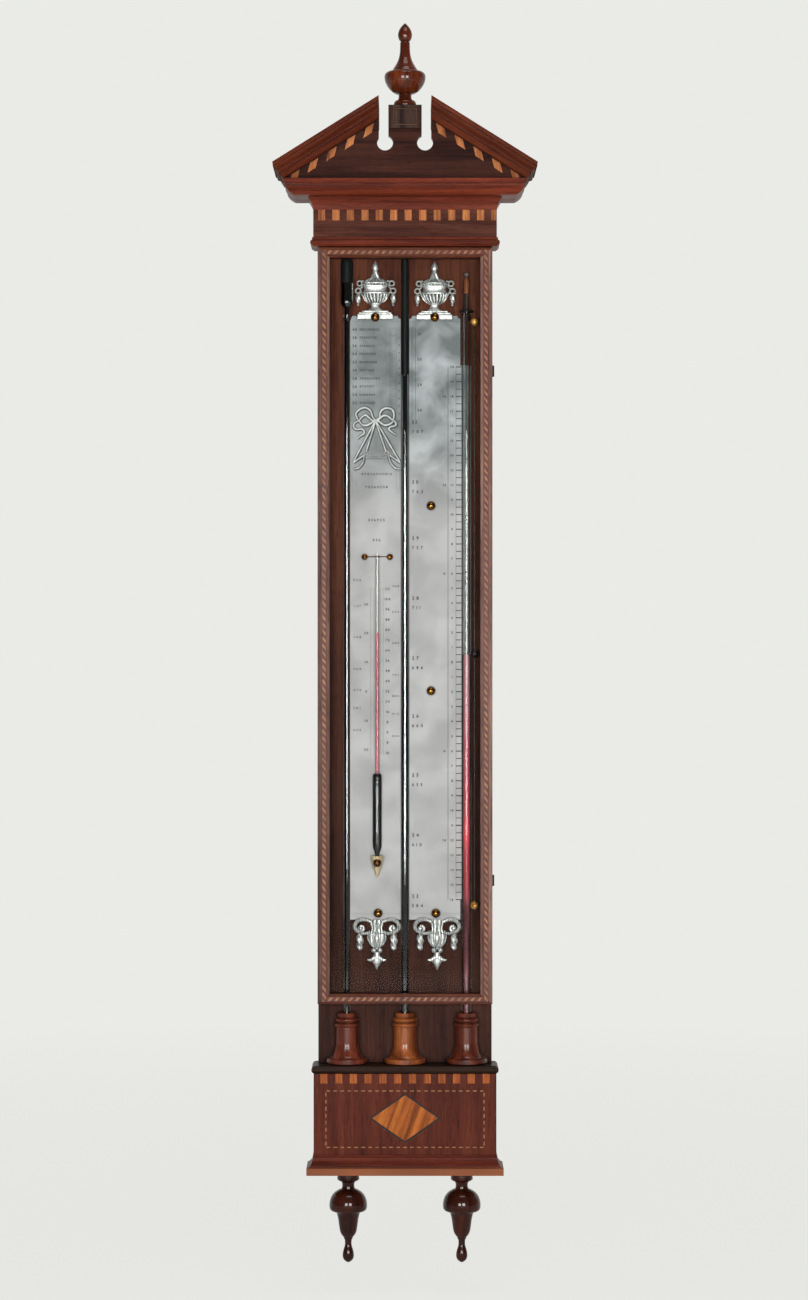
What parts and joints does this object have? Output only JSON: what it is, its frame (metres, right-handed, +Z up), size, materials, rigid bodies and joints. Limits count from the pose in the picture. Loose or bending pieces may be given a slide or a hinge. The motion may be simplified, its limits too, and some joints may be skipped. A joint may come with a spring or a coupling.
{
  "type": "mercury barometer",
  "caption": "Long wall barometer in a pedimented wooden case with glazed door, mercury tubes, thermometer, pewter plates and turned pendants.",
  "frame": {"origin": "centre of the hanging hole, on the wall plane", "axes": "+Z up, the front faces -Y, +X to the right seen from the front"},
  "size_m": [0.2668, 0.0803, 1.2616],
  "materials": {
    "backboard_wood": "satin",
    "case_wood": "polished",
    "mahogany": "polished",
    "dark_walnut": "polished",
    "box_mahogany": "polished",
    "light_inlay": "polished",
    "orange_inlay": "polished",
    "black_inlay": "polished",
    "bell_dark_wood": "polished",
    "bell_light_wood": "polished",
    "boxwood": "satin",
    "pewter": "satin",
    "silvered_casting": "polished",
    "brass": "polished",
    "tube_glass": "clear",
    "door_pane": "clear",
    "mercury": "mirror",
    "red_spirit": "clear",
    "bone": "satin",
    "blackened_metal": "satin"
  },
  "bodies": {
    "case": {"backboard": "backboard_wood", "case_sides": "case_wood", "case_head": "backboard_wood", "case_foot": "backboard_wood", "frieze_front": "mahogany", "frieze_sides": "mahogany", "frieze_inlay": "light_inlay", "bead_moulding": "mahogany", "cavetto_moulding": "mahogany", "corona_moulding": "mahogany", "tympanum": "dark_walnut", "tympanum_inlay": "light_inlay", "raking_cornice_left": "mahogany", "raking_cornice_right": "mahogany", "pedestal_block": "mahogany", "finial": "mahogany", "shelf": "dark_walnut", "box_front": "box_mahogany", "box_sides": "box_mahogany", "box_inlay": "orange_inlay", "diamond_inlay": "orange_inlay", "box_stringing": "black_inlay", "base_moulding": "mahogany", "pendants": "dark_walnut", "plate_left": "pewter", "plate_right": "pewter", "plate_pins": "brass", "urn_left": "silvered_casting", "urn_right": "silvered_casting", "shell_left": "silvered_casting", "shell_right": "silvered_casting", "straight_tube": "tube_glass", "straight_mercury": "mercury", "cistern": "boxwood", "cistern_lid": "boxwood", "contra_glass": "tube_glass", "contra_mercury": "mercury", "contra_spirit": "red_spirit", "thermometer_glass": "tube_glass", "thermometer_spirit": "red_spirit", "thermometer_cup": "bone", "thermometer_tie": "brass", "guide_wire": "brass", "hinge_leaves_case": "brass", "hinge_pins": "brass", "hanging_plate": "brass", "hanging_screws": "brass"},
    "door": {"door_stile_left": "case_wood", "door_stile_right": "case_wood", "door_rail_top": "case_wood", "door_rail_bottom": "case_wood", "rope_inlay": "orange_inlay", "door_glass": "door_pane", "glazing_beads": "case_wood", "hinge_leaves_door": "brass"},
    "pointer": {"pointer": "blackened_metal"},
    "stopper": {"stopper": "bell_light_wood"},
    "bell_cover_left": {"bell_left": "bell_dark_wood"},
    "bell_cover_middle": {"bell_middle": "bell_light_wood"},
    "bell_cover_right": {"bell_right": "bell_dark_wood"}
  },
  "joints": [
    {"name": "door_swing", "type": "hinge", "parent": "case", "child": "door", "pos_m": [0.0896, -0.02815, -0.4453], "axis": [0, 0, 1], "range_deg": [0, 165]},
    {"name": "pointer_slide", "type": "slide", "parent": "case", "child": "pointer", "axis": [0, 0, 1], "range_m": [-0.249, 0.33]},
    {"name": "stopper_lift", "type": "slide", "parent": "case", "child": "stopper", "axis": [0, 0, 1], "range_m": [0, 0.01]},
    {"name": "bell_left_forward", "type": "slide", "parent": "case", "child": "bell_cover_left", "axis": [0, -1, 0], "range_m": [0, 0.025]},
    {"name": "bell_middle_forward", "type": "slide", "parent": "case", "child": "bell_cover_middle", "axis": [0, -1, 0], "range_m": [0, 0.025]},
    {"name": "bell_right_forward", "type": "slide", "parent": "case", "child": "bell_cover_right", "axis": [0, -1, 0], "range_m": [0, 0.025]}
  ]
}
